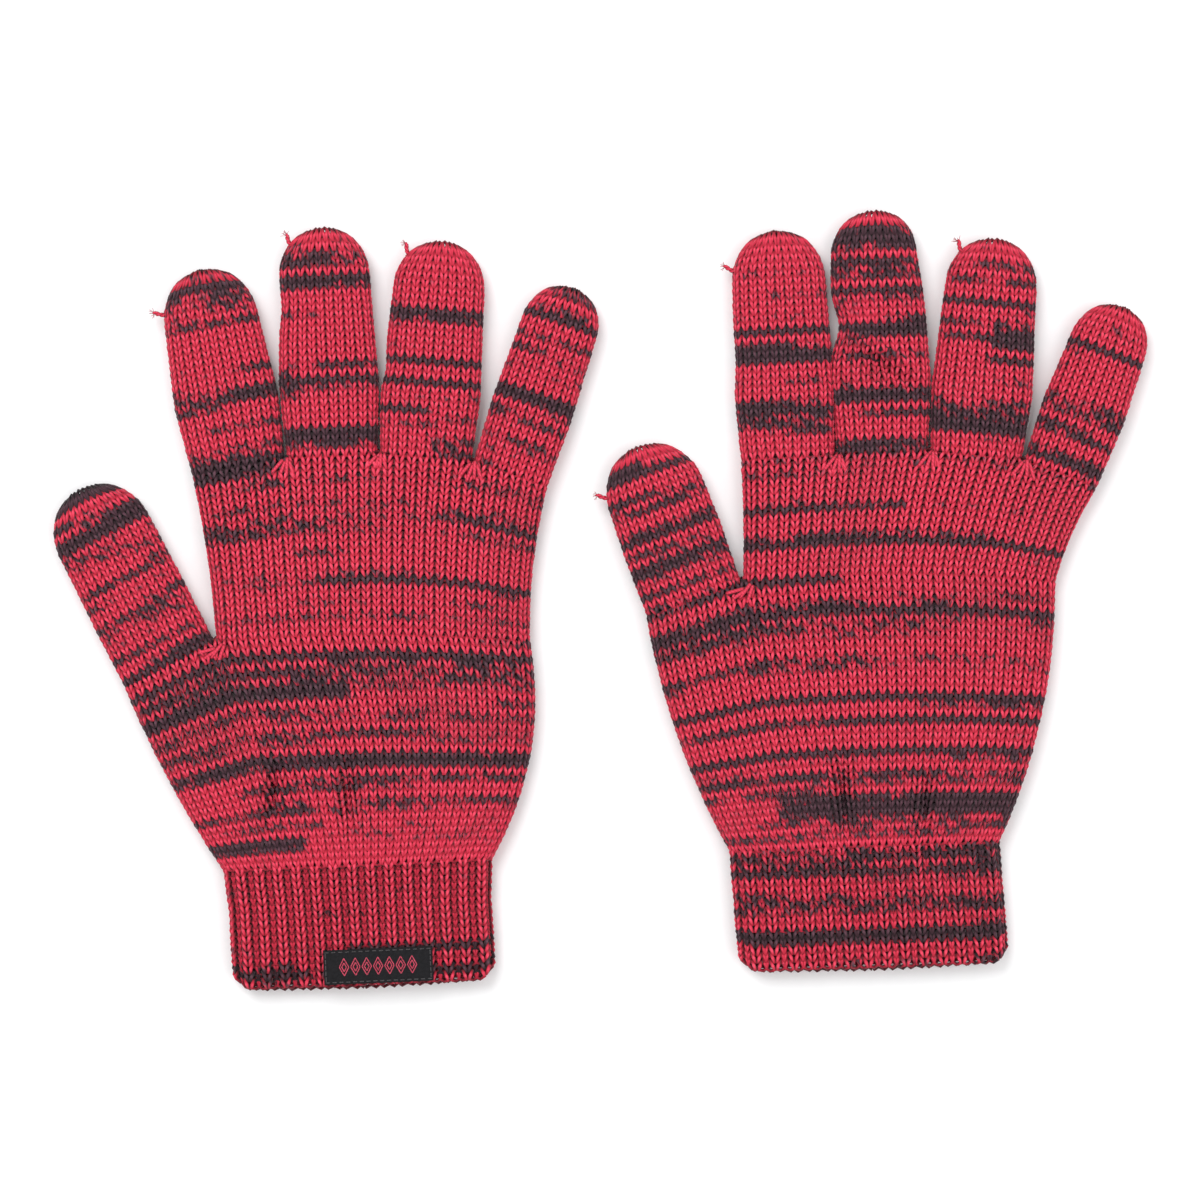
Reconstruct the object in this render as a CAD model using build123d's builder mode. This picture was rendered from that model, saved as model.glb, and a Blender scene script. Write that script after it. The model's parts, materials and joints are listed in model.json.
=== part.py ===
from build123d import *

import os
from collections import namedtuple
from math import cos, radians, sin

os.makedirs("parts", exist_ok=True)

# A pair of knitted gloves lying flat, side by side: the right glove with its back up and the left glove
# with its palm up. The origin is on the surface, under the middle of the pair. X runs across the pair,
# Y from the cuffs to the fingertips and Z up. All sizes are in millimetres and all angles in degrees.

# Driving dimensions of the fabric
fabric = 2.0  # one layer of the knitted fabric
lay_height = 9.0  # a glove lying flat: two layers and the air between them
edge_round = 4.0  # the fold where the two layers meet along a side
hinge_gap = 0.4  # between a digit or a cuff and the palm that it folds on
digit_gap = 1.0  # between neighbouring digits at their roots

# Driving dimensions of the cuffs
cuff_width = 82.5
rib_length = 31.5  # the ribbed part
welt_length = 4.5  # the cast-on edge
elastic_thread = 0.8
elastic_count = 5
elastic_margin = 4.0  # from each end of the ribbed part to the nearest thread

# Driving dimensions of the trim
yarn = 1.3
tail_bury = 1.0  # how deep a yarn tail is rooted in its digit
link_size = 2.4  # a bundle of linking yarn between two digits
link_inset = 2.2  # from the knuckle line to the middle of a bundle
label_size = (33.0, 10.5, 0.6)
label_offset = 5.2  # from the middle of the cuff to the middle of the label
label_drop = 0.4  # from the cuff's edge to the label's edge
stitch_size = (1.8, 0.5, 0.25)
stitch_pitch = 2.95
stitch_inset = 1.0  # from the label's edge to the middle of a stitch

# Tips of the digits
finger_tip_round = 12.0
little_tip_round = 10.0

# A digit leans to the left by lean. It is base_width wide at its root and width wide near its tip.
Digit = namedtuple("Digit", "lean base_width width length tip_round")

# A yarn tail leaves the round left corner of a digit's tip, turn degrees up that corner. It points
# rise degrees up from the digit's own left. Between two fingers it stays inside the finger's width.
Tail = namedtuple("Tail", "digit turn rise length")

# A glove is laid out from the outer end of its index knuckle, and its thumb crotch and the middle of
# its wrist are measured from there. The side under the little finger runs in by seam_in down to the
# height of the thumb crotch, and bulges by heel_bulge on its way from there to the wrist.
Glove = namedtuple("Glove", "side start digits crotch seam_in heel_bulge wrist cuff_lean tails")

right_glove = Glove(
    side="right",
    start=(-123.5, 37.8),
    digits={
        "index": Digit(10.5, 28.0, 28.4, 59.8, finger_tip_round),
        "middle": Digit(2.5, 27.2, 27.6, 68.3, finger_tip_round),
        "ring": Digit(-4.5, 27.4, 27.8, 64.8, finger_tip_round),
        "little": Digit(-18.5, 23.2, 23.6, 58.6, little_tip_round),
        "thumb": Digit(27.0, 30.0, 30.0, 58.8, finger_tip_round),
    },
    crotch=(7.3, -50.1),
    seam_in=5.3,
    heel_bulge=6.0,
    wrist=(50.3, -117.2),
    cuff_lean=2.5,
    tails=(
        Tail("index", 0.0, 15.0, 5.5),
        Tail("middle", 40.0, 68.0, 4.0),
        Tail("ring", 40.0, 68.0, 4.5),
    ),
)
left_glove = Glove(
    side="left",
    start=(42.3, 42.5),
    digits={
        "index": Digit(3.0, 28.0, 28.4, 67.8, finger_tip_round),
        "middle": Digit(2.0, 27.2, 27.6, 72.6, finger_tip_round),
        "ring": Digit(-5.0, 27.4, 27.8, 65.1, finger_tip_round),
        "little": Digit(-20.5, 23.2, 23.6, 53.2, little_tip_round),
        "thumb": Digit(20.0, 30.0, 30.0, 48.5, finger_tip_round),
    },
    crotch=(0.6, -36.8),
    seam_in=12.6,
    heel_bulge=4.5,
    wrist=(37.5, -116.6),
    cuff_lean=2.0,
    tails=(
        Tail("index", 0.0, 25.0, 5.0),
        Tail("ring", 40.0, 68.0, 4.5),
        Tail("thumb", 0.0, 30.0, 5.0),
    ),
)
finger_names = ("index", "middle", "ring", "little")

# Derived sizes
side_round = min(edge_round, 0.45 * lay_height)
air = lay_height - 2 * fabric


def across(lean):
    """The direction along a knuckle line whose digit leans to the left by lean."""
    return Vector(cos(radians(lean)), sin(radians(lean)))


def along(lean):
    """The direction from the root to the tip of a digit that leans to the left by lean."""
    return Vector(-sin(radians(lean)), cos(radians(lean)))


def knuckles(glove):
    """The five points of the knuckle line, from the outer end of the index to that of the little finger."""
    points = [Vector(*glove.start)]
    for name in finger_names:
        digit = glove.digits[name]
        points.append(points[-1] + across(digit.lean) * (digit.base_width + digit_gap))
    return points


def crotch_point(glove):
    """Where the thumb's knuckle line meets the upper palm."""
    return Vector(*glove.start) + Vector(*glove.crotch)


def thumb_corner(glove):
    """The outer end of the thumb's knuckle line."""
    thumb = glove.digits["thumb"]
    return crotch_point(glove) - across(thumb.lean) * (thumb.base_width + digit_gap)


def wrist_point(glove):
    """The middle of the line where the palm ends and the cuff starts."""
    return Vector(*glove.start) + Vector(*glove.wrist)


def root_point(glove, name):
    """The middle of the knuckle line that a digit stands on."""
    if name == "thumb":
        return (crotch_point(glove) + thumb_corner(glove)) / 2
    points = knuckles(glove)
    first = finger_names.index(name)
    return (points[first] + points[first + 1]) / 2


def digit_plane(glove, name):
    """A digit's own plane: its root at the origin, its tip along +Y."""
    lean = glove.digits[name].lean
    origin = root_point(glove, name) + along(lean) * hinge_gap
    return Plane(origin=origin, x_dir=across(lean), z_dir=(0, 0, 1))


def save(part, node):
    part.label = node
    export_step(part, f"parts/{node}.step")


def seam_point(glove):
    """The side under the little finger, level with the thumb crotch."""
    return Vector(knuckles(glove)[-1].X - glove.seam_in, crotch_point(glove).Y)


def flat_edges(solid, middles):
    """The edges in the lower and upper faces that run through the given points of the outline."""
    found = []
    for edge in solid.edges().filter_by(Axis.Z, reverse=True):
        middle = edge @ 0.5
        if any((Vector(middle.X, middle.Y) - point).length < 0.5 for point in middles):
            found.append(edge)
    return found


def make_digit(glove, name):
    """A finger or a thumb: a hollow knitted tube that is open at its root and closed at its tip."""
    digit = glove.digits[name]
    plane = digit_plane(glove, name)
    length_axis = Axis(plane.origin, plane.y_dir)
    half_root = digit.base_width / 2
    half_tip = digit.width / 2
    with BuildPart() as tube:
        with BuildSketch(plane) as outline:
            with BuildLine():
                Polyline(
                    (-half_root, 0),
                    (half_root, 0),
                    (half_tip, digit.length),
                    (-half_tip, digit.length),
                    close=True,
                )
            make_face()
            corners = outline.vertices().sort_by(Axis.Y)[-2:]
            fillet(corners, radius=min(digit.tip_round, 0.46 * digit.width))
        extrude(amount=lay_height)
        root = tube.faces().sort_by(length_axis)[0]
        rims = tube.edges().filter_by(Axis.Z, reverse=True) - root.edges()
        fillet(rims, radius=side_round)
        root = tube.faces().sort_by(length_axis)[0]
        offset(amount=-fabric, openings=root)
    save(tube.part, f"{glove.side}_{name}")
    return tube.part


def make_tail(glove, tail, tube):
    """The end of the yarn that closes a digit, where it comes out of the digit's left side."""
    digit = glove.digits[tail.digit]
    plane = digit_plane(glove, tail.digit)
    corner_round = min(digit.tip_round, 0.46 * digit.width)
    corner = plane.y_dir * (digit.length - corner_round) - plane.x_dir * (digit.width / 2 - corner_round)
    spoke = plane.y_dir * sin(radians(tail.turn)) - plane.x_dir * cos(radians(tail.turn))
    outward = plane.y_dir * sin(radians(tail.rise)) - plane.x_dir * cos(radians(tail.rise))
    skin = plane.origin + corner + spoke * corner_round + Vector(0, 0, lay_height / 2)
    start = skin - outward * tail_bury
    with BuildPart() as end:
        with BuildSketch(Plane(origin=start, z_dir=outward)):
            Circle(yarn / 2)
        extrude(amount=tail.length + tail_bury)
        add(tube, mode=Mode.SUBTRACT)
    save(end.part, f"{glove.side}_{tail.digit}_tail")


def open_faces(solid, middles):
    """The upright plane faces of a solid that stand over the middles of its open edges."""
    return [
        face
        for face in solid.faces().filter_by(GeomType.PLANE).filter_by(Axis.Z, reverse=True)
        if any((Vector(face.center().X, face.center().Y) - middle).length < 0.5 for middle in middles)
    ]


def make_upper_palm(glove):
    """The palm over the thumb crotch: a tube that is open to the four fingers and to the lower palm."""
    top = knuckles(glove)
    crotch = crotch_point(glove)
    seam = seam_point(glove)
    with BuildPart() as palm:
        with BuildSketch():
            with BuildLine():
                Polyline(*top, seam, crotch, close=True)
            make_face()
        extrude(amount=lay_height)
        sides = [(top[0] + crotch) / 2, (top[-1] + seam) / 2]
        fillet(flat_edges(palm, sides), radius=side_round)
        mouths = [(a + b) / 2 for a, b in zip(top, top[1:])] + [(crotch + seam) / 2]
        offset(amount=-fabric, openings=open_faces(palm, mouths))
    save(palm.part, f"{glove.side}_upper_palm")


def make_lower_palm(glove):
    """The palm under the thumb crotch: a tube that is open to the upper palm, the thumb and the cuff."""
    crotch = crotch_point(glove)
    corner = thumb_corner(glove)
    seam = seam_point(glove)
    wrist_left = wrist_point(glove) - across(glove.cuff_lean) * (cuff_width / 2)
    wrist_right = wrist_point(glove) + across(glove.cuff_lean) * (cuff_width / 2)
    chord = seam - wrist_right
    heel = (seam + wrist_right) / 2 + Vector(chord.Y, -chord.X).normalized() * glove.heel_bulge
    with BuildPart() as palm:
        with BuildSketch():
            with BuildLine():
                Polyline(seam, crotch, corner, wrist_left, wrist_right)
                ThreePointArc(wrist_right, heel, seam)
            make_face()
        extrude(amount=lay_height)
        fillet(flat_edges(palm, [(corner + wrist_left) / 2, heel]), radius=side_round)
        mouths = [(seam + crotch) / 2, (crotch + corner) / 2, (wrist_left + wrist_right) / 2]
        offset(amount=-fabric, openings=open_faces(palm, mouths))
    save(palm.part, f"{glove.side}_lower_palm")


def make_crotch_links(glove):
    """Bundles of yarn that tie the two layers together between neighbouring digits."""
    top = knuckles(glove)
    places = [point - Vector(0, link_inset) for point in top[1:-1]]
    places.append(crotch_point(glove) + Vector(link_inset, -link_inset))
    with BuildPart() as links:
        with BuildSketch(Plane.XY.offset(fabric)):
            with Locations(*places):
                Circle(link_size / 2)
        extrude(amount=air)
    save(links.part, f"{glove.side}_crotch_links")


def cuff_section_plane(glove, down):
    """A plane across a cuff, at half its height and down from the wrist, which looks along the cuff."""
    middle = wrist_point(glove) - along(glove.cuff_lean) * down + Vector(0, 0, lay_height / 2)
    return Plane(origin=middle, x_dir=across(glove.cuff_lean), z_dir=-along(glove.cuff_lean))


def cuff_ring(plane, outer, inner):
    """A flattened ring across a cuff, whose edges lie outer and inner in from the cuff's skin."""
    with BuildSketch(plane) as ring:
        RectangleRounded(cuff_width - 2 * outer, lay_height - 2 * outer, side_round - outer)
        RectangleRounded(
            cuff_width - 2 * inner,
            lay_height - 2 * inner,
            side_round - inner,
            mode=Mode.SUBTRACT,
        )
    return ring.sketch


def make_cuff(glove):
    """The ribbed cuff, the elastic threads laid in its inner face, and the welt at its edge."""
    reach = rib_length - 2 * elastic_margin - elastic_thread
    places = [elastic_margin + reach * n / (elastic_count - 1) for n in range(elastic_count)]
    with BuildPart() as threads:
        for place in places:
            section = cuff_section_plane(glove, hinge_gap + place)
            extrude(cuff_ring(section, fabric - elastic_thread, fabric), amount=elastic_thread)
    with BuildPart() as rib:
        extrude(cuff_ring(cuff_section_plane(glove, hinge_gap), 0, fabric), amount=rib_length)
        add(threads.part, mode=Mode.SUBTRACT)
    with BuildPart() as welt:
        edge = cuff_section_plane(glove, hinge_gap + rib_length)
        extrude(cuff_ring(edge, 0, fabric), amount=welt_length)
    save(threads.part, f"{glove.side}_elastic_threads")
    save(rib.part, f"{glove.side}_cuff_rib")
    save(welt.part, f"{glove.side}_cuff_welt")


def make_label(glove):
    """The woven label on the cuff's edge and the stitches round its border."""
    width, height, thickness = label_size
    down = hinge_gap + rib_length + welt_length - label_drop - height / 2
    middle = (
        wrist_point(glove)
        + across(glove.cuff_lean) * label_offset
        - along(glove.cuff_lean) * down
        + Vector(0, 0, lay_height)
    )
    face = Plane(origin=middle, x_dir=across(glove.cuff_lean), z_dir=(0, 0, 1))
    with BuildPart() as label:
        with BuildSketch(face):
            Rectangle(width, height)
        extrude(amount=thickness)
    row = int((width - 2 * stitch_inset) / stitch_pitch)
    with BuildPart() as stitches:
        with BuildSketch(face.offset(thickness)):
            with GridLocations(stitch_pitch, height - 2 * stitch_inset, row, 2):
                Rectangle(stitch_size[0], stitch_size[1])
            with GridLocations(width - 2 * stitch_inset, stitch_pitch, 2, 2):
                Rectangle(stitch_size[1], stitch_size[0])
        extrude(amount=stitch_size[2])
    save(label.part, f"{glove.side}_label")
    save(stitches.part, f"{glove.side}_label_stitches")


for glove in (right_glove, left_glove):
    tubes = {name: make_digit(glove, name) for name in glove.digits}
    for tail in glove.tails:
        make_tail(glove, tail, tubes[tail.digit])
    make_upper_palm(glove)
    make_lower_palm(glove)
    make_crotch_links(glove)
    make_cuff(glove)

# The left glove's label is on its back, against the surface, and isn't modelled.
make_label(right_glove)
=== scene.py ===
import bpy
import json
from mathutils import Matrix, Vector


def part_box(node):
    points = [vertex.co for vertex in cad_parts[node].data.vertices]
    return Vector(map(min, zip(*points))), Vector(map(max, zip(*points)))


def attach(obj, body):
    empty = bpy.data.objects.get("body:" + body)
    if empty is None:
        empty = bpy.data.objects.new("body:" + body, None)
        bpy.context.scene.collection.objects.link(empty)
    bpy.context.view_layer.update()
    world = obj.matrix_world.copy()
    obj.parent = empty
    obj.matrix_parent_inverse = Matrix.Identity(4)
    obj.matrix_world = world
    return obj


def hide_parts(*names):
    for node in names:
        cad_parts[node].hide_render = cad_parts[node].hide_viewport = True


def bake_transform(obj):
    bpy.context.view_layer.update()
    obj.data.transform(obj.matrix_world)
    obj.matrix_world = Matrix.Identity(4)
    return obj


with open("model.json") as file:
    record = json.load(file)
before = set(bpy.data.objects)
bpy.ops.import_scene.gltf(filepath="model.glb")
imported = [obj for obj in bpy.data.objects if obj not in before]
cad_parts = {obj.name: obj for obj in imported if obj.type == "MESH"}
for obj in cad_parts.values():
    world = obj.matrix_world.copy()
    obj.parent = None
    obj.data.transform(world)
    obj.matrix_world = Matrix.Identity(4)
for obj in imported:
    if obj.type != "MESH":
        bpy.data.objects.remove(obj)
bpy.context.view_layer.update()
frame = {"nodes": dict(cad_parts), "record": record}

import json
from dataclasses import dataclass
from math import pi, radians

import bpy
import numpy as np

# A pair of machine-knitted gloves, made loop by loop. Every section of a glove is a flattened tube of
# courses (rows of loops, counted from the fingertips down) and wales (columns of loops). The places
# and sizes of the sections come from the frame. Lengths are in metres.

MM = 0.001
FINGERS = ("index", "middle", "ring", "little")
DIGITS = FINGERS + ("thumb",)

# The knit
WALE = 3.0 * MM
COURSE = 2.27 * MM
YARN_RADIUS = 0.55 * MM
LOOP_SPREAD = 0.86 * MM
LEG_PINCH = 0.06 * MM  # how far both legs of a loop draw in to its middle
LOOP_TILT = 0.26 * MM  # how far the foot of a loop stands out over its head
LOOP_HEIGHT = 1.95 * MM
LOOP_DEPTH = 0.55 * MM
LEG_SWELL = 0.14  # how much fuller the yarn is in the legs of a loop than at its ends
UNEVEN = 0.09 * MM  # how far a stitch strays from its place
SAMPLES = 8  # points along one loop
YARN_SIDES = 6
SKIN_DEPTH = YARN_RADIUS + LOOP_DEPTH  # from the outer surface to the middle of the fabric
LINING_DEPTH = 2.1 * MM
RIB_LINING_DEPTH = 2.9 * MM
PALM_WALES = 31  # on one face of a palm above the thumb
THUMB_WALES = 9  # and how many the thumb adds to them
RIB_PULL = 0.30  # how much the raised wales of a rib crowd out the drawn-back ones
RIB_WALES = 30  # on one face of a cuff: 15 raised and 15 drawn back
ROOT_BEND = 11 * MM  # a stretch of a digit out from its root
CUFF_BEND = 9 * MM
TIP_START = 3.3 * MM  # from the end of a digit to its first course
TIP_BULGE = 2.8 * MM  # how far the first courses bow over the tip
TIP_REACH = 7 * MM  # how far down the digit that bow fades out
TIP_TAPER = 11 * MM  # the stretch in which a digit thins towards its tip
HEM_ROUND = 12.5 * MM  # how far the corners of the hem are rounded off
HEM_LIP = 1.1 * MM  # how far the back of the hem shows below its front
WAVE_HEIGHT = 0.15 * MM

# The marled yarn: one pink-red strand and one plum strand, twisted together. Where plum, with some
# noise, passes the first threshold the plum strand begins to show, and past the second it hides the pink.
# Each strand's colour comes with a painted-highlight copy and a painted-shade copy, mixed in by the lit
# attribute.
PINK = (0.50, 0.012, 0.038, 1)
PINK_PAINTED_HIGHLIGHT = (0.90, 0.066, 0.130, 1)
PINK_PAINTED_SHADE = (0.085, 0.003, 0.008, 1)
PLUM = (0.030, 0.008, 0.014, 1)
PLUM_PAINTED_HIGHLIGHT = (0.125, 0.052, 0.074, 1)
PLUM_PAINTED_SHADE = (0.008, 0.003, 0.005, 1)
STRAND_TURNS = 2.35  # twists of the two strands in one loop
PLUM_FROM = 0.48
PLUM_FULL = 0.59
PALM_PLUM = 0.355  # how near a section is to showing plum where it has no streak or band
DIGIT_PLUM = 0.40
LONG_STREAK = 0.26  # how much plum comes and goes over most of a course
SHORT_STREAK = 0.075  # and over a few loops
BAND_GAIN = 1.05


# ---- Node trees ----


class Wire:
    """An output socket of a node tree. Sums on wires add the nodes that work them out."""

    def __init__(self, bench, socket):
        self.bench = bench
        self.socket = socket

    def maths(self, operation, first, second=0.0):
        return self.bench.node("ShaderNodeMath", {0: first, 1: second}, operation=operation)

    def __add__(self, other):
        return self.maths("ADD", self, other)

    def __sub__(self, other):
        return self.maths("SUBTRACT", self, other)

    def __rsub__(self, other):
        return self.maths("SUBTRACT", other, self)

    def __mul__(self, other):
        return self.maths("MULTIPLY", self, other)

    __radd__ = __add__
    __rmul__ = __mul__

    def sine(self):
        return self.maths("SINE", self)

    def cosine(self):
        return self.maths("COSINE", self)

    def scaled(self, by):
        """This vector, by a number or a wire times as long."""
        return self.bench.node("ShaderNodeVectorMath", {0: self, "Scale": by}, operation="SCALE")

    def plus(self, other):
        """This vector and another one, added."""
        return self.bench.node("ShaderNodeVectorMath", {0: self, 1: other}, operation="ADD")

    def step(self, low, high):
        """0 where this is under low, 1 where it is over high, and smooth between."""
        values = {"Value": self, "From Min": low, "From Max": high}
        return self.bench.node("ShaderNodeMapRange", values, interpolation_type="SMOOTHSTEP")


class Bench:
    """Builds one node tree."""

    def __init__(self, tree):
        self.tree = tree

    def node(self, kind, values, output=0, **settings):
        """Adds a node: its settings first, then the values or wires of its sockets."""
        made = self.tree.nodes.new(kind)
        for key, value in settings.items():
            setattr(made, key, value)
        for key, value in values.items():
            if isinstance(value, Wire):
                self.tree.links.new(value.socket, made.inputs[key])
            else:
                made.inputs[key].default_value = value
        return Wire(self, made.outputs[output]) if len(made.outputs) else None

    def mix(self, share, first, second):
        """A colour between two colours."""
        return self.node("ShaderNodeMix", {0: share, 6: first, 7: second}, output=2, data_type="RGBA")

    def attribute(self, name):
        return self.node("ShaderNodeAttribute", {}, output="Fac", attribute_name=name)

    def bump(self, strength, distance, height):
        values = {"Strength": strength, "Distance": distance * MM, "Height": height}
        return self.node("ShaderNodeBump", values)


def material(name):
    """A new material with its bench."""
    made = bpy.data.materials.new(name)
    made.use_nodes = True
    made.node_tree.nodes.clear()
    return made, Bench(made.node_tree)


def shade(bench, colour, roughness, bump=None, plain=()):
    """Adds the shader, with plain numbers for its other sockets, and the output."""
    values = {"Base Color": colour, "Roughness": roughness, **dict(plain)}
    if bump:
        values["Normal"] = bump
    shader = bench.node("ShaderNodeBsdfPrincipled", values)
    bench.node("ShaderNodeOutputMaterial", {"Surface": shader})


def noise(bench, scale, detail=2.0, vector=None):
    """Cloudy noise from 0 to 1, by the place on the object if there is no other vector."""
    vector = vector or bench.node("ShaderNodeTexCoord", {}, output="Object")
    values = {"Vector": vector, "Scale": scale, "Detail": detail, "Roughness": 0.55}
    return bench.node("ShaderNodeTexNoise", values)


def yarn_material():
    """The marled yarn: a pink strand and a plum strand, and plum says how much of it is in front; lit
    paints shade and highlights into each strand's colour.
    """
    made, bench = material("marled yarn")
    plum = bench.attribute("plum")
    along = bench.attribute("loop")
    around = bench.attribute("around")
    course = bench.attribute("course")
    ply = ((along * STRAND_TURNS + around + course * 0.618) * (2 * pi)).sine()
    wander = noise(bench, 330.0) - 0.5
    dark = (ply * 0.055 + plum + wander * 0.29).step(PLUM_FROM, PLUM_FULL)
    fleck = noise(bench, 2300.0, 1.0)
    tone = noise(bench, 900.0)
    lit = bench.attribute("lit")
    # Painted light: body fades each strand to its painted-shade copy at the sides and ends of the loops,
    # and crown adds the painted highlight on their fronts, varied by noise and the ply.
    body = lit.step(0.34, 0.84)
    crown = lit.step(0.68, 1.0) * (0.50 + tone * 0.8) * (0.7 + fleck * 0.7) * (0.95 + ply * 0.35)
    pink = bench.mix(crown, bench.mix(body, PINK_PAINTED_SHADE, PINK), PINK_PAINTED_HIGHLIGHT)
    grey = bench.mix(crown * 0.8, bench.mix(body, PLUM_PAINTED_SHADE, PLUM), PLUM_PAINTED_HIGHLIGHT)
    colour = bench.mix(dark, pink, grey)
    spiral = {"X": along * 9.0 + around * 6.0, "Y": around * 10.0 - along * 5.0, "Z": course}
    fibres = bench.node("ShaderNodeCombineXYZ", spiral)
    fuzz = noise(bench, 2.2, 3.0, fibres)
    bump = bench.bump(0.8, 0.3, fuzz * 0.55 + ply * 0.45)
    plain = {"Sheen Weight": 0.12, "Sheen Roughness": 0.45, "Specular IOR Level": 0.28}
    shade(bench, colour, 0.62 + fuzz * 0.25, bump, plain)
    return made


def lining_material():
    """The inner, purled face of the fabric: low bumps in courses, mostly in shade, with the yarn's colours
    painted dark as that shade.
    """
    made, bench = material("purled inner face")
    loop = bench.attribute("loop")
    course = bench.attribute("course")
    plum = bench.attribute("plum")
    fleck = noise(bench, 1500.0)
    dark = (plum + (fleck - 0.5) * 0.9).step(0.40, 0.62)
    # Painted shade: pink and plum here are the yarn's colours made far darker, for the shade behind the
    # loops.
    colour = bench.mix(dark, (0.13, 0.003, 0.010, 1), (0.014, 0.005, 0.008, 1))
    bumps = (loop * (4 * pi)).sine() * 0.4 + (course * (2 * pi)).cosine()
    bump = bench.bump(0.8, 0.5, bumps)
    shade(bench, colour, 0.9, bump)
    return made


def elastic_material():
    """Covered elastic: rubber with a fine wrapped thread."""
    made, bench = material("covered elastic")
    wrap = noise(bench, 5200.0, 1.0)
    colour = bench.mix(wrap, (0.035, 0.018, 0.022, 1), (0.12, 0.06, 0.07, 1))
    bump = bench.bump(0.4, 0.1, wrap)
    shade(bench, colour, 0.55 + wrap * 0.2, bump)
    return made


def label_material():
    """Black woven tape: a fine twill with a soft shine."""
    made, bench = material("black woven tape")
    uv = bench.node("ShaderNodeUVMap", {}, uv_map="OFBake")
    across, down = (bench.node("ShaderNodeSeparateXYZ", {0: uv}, output=axis) for axis in ("X", "Y"))
    twill = ((across * 110.0 + down * 34.0) * (2 * pi)).sine()
    weft = (down * (38 * 2 * pi)).sine()
    lint = noise(bench, 1300.0)
    # Lighter along the twill and weft lines and where the lint noise is high.
    twill_and_lint_tone = (twill * 0.25 + weft * 0.25 + lint).step(0.25, 0.95)
    colour = bench.mix(twill_and_lint_tone, (0.003, 0.003, 0.004, 1), (0.017, 0.016, 0.019, 1))
    bump = bench.bump(0.5, 0.12, twill * 0.5 + weft * 0.5)
    shade(bench, colour, 0.58 + lint * 0.2, bump, {"Specular IOR Level": 0.2})
    return made


def thread_material(name, light, dark):
    """Sewing or embroidery thread: shiny, with its twist showing."""
    made, bench = material(name)
    lint = noise(bench, 3600.0, 1.0)
    bump = bench.bump(0.5, 0.08, lint)
    colour = bench.mix(lint.step(0.35, 0.65), dark, light)
    shade(bench, colour, 0.42 + lint * 0.2, bump, {"Sheen Weight": 0.2})
    return made


def floor_material():
    """Pale paper with the faintest grain."""
    made, bench = material("pale paper")
    grain = noise(bench, 260.0)
    colour = bench.mix(grain, (0.90, 0.90, 0.905, 1), (0.93, 0.93, 0.935, 1))
    shade(bench, colour, 0.9, plain={"Specular IOR Level": 0.2})
    return made


# ---- Geometry node trees ----


def new_tree(name, inputs):
    """An empty geometry tree with a geometry input, named number inputs and a material input."""
    tree = bpy.data.node_groups.new(name, "GeometryNodeTree")
    tree.interface.new_socket("Geometry", in_out="INPUT", socket_type="NodeSocketGeometry")
    for label, value in inputs.items():
        kind = "NodeSocketInt" if isinstance(value, int) else "NodeSocketFloat"
        tree.interface.new_socket(label, in_out="INPUT", socket_type=kind).default_value = value
    tree.interface.new_socket("Material", in_out="INPUT", socket_type="NodeSocketMaterial")
    tree.interface.new_socket("Geometry", in_out="OUTPUT", socket_type="NodeSocketGeometry")
    bench = Bench(tree)
    group = bench.node("NodeGroupInput", {}).socket.node
    wires = {socket.name: Wire(bench, socket) for socket in group.outputs if socket.name}
    return tree, bench, wires


def named(bench, name, kind):
    """An attribute that the mesh brings with it."""
    return bench.node("GeometryNodeInputNamedAttribute", {"Name": name}, data_type=kind)


def stored(bench, geometry, name, value, kind):
    """Notes a value at each point as an attribute."""
    values = {"Geometry": geometry, "Name": name, "Value": value}
    return bench.node("GeometryNodeStoreNamedAttribute", values, data_type=kind, domain="POINT")


def swept(bench, line, ring):
    """A cord with capped ends: the ring drawn along the line."""
    values = {"Curve": line, "Profile Curve": ring, "Fill Caps": True}
    return bench.node("GeometryNodeCurveToMesh", values)


def close_tree(bench, geometry, wires):
    """Shades the result smooth, realises it, gives it its material and ends the tree."""
    smooth = bench.node("GeometryNodeSetShadeSmooth", {"Geometry": geometry})
    real = bench.node("GeometryNodeRealizeInstances", {"Geometry": smooth})
    clad = bench.node("GeometryNodeSetMaterial", {"Geometry": real, "Material": wires["Material"]})
    bench.node("NodeGroupOutput", {"Geometry": clad})


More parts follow.
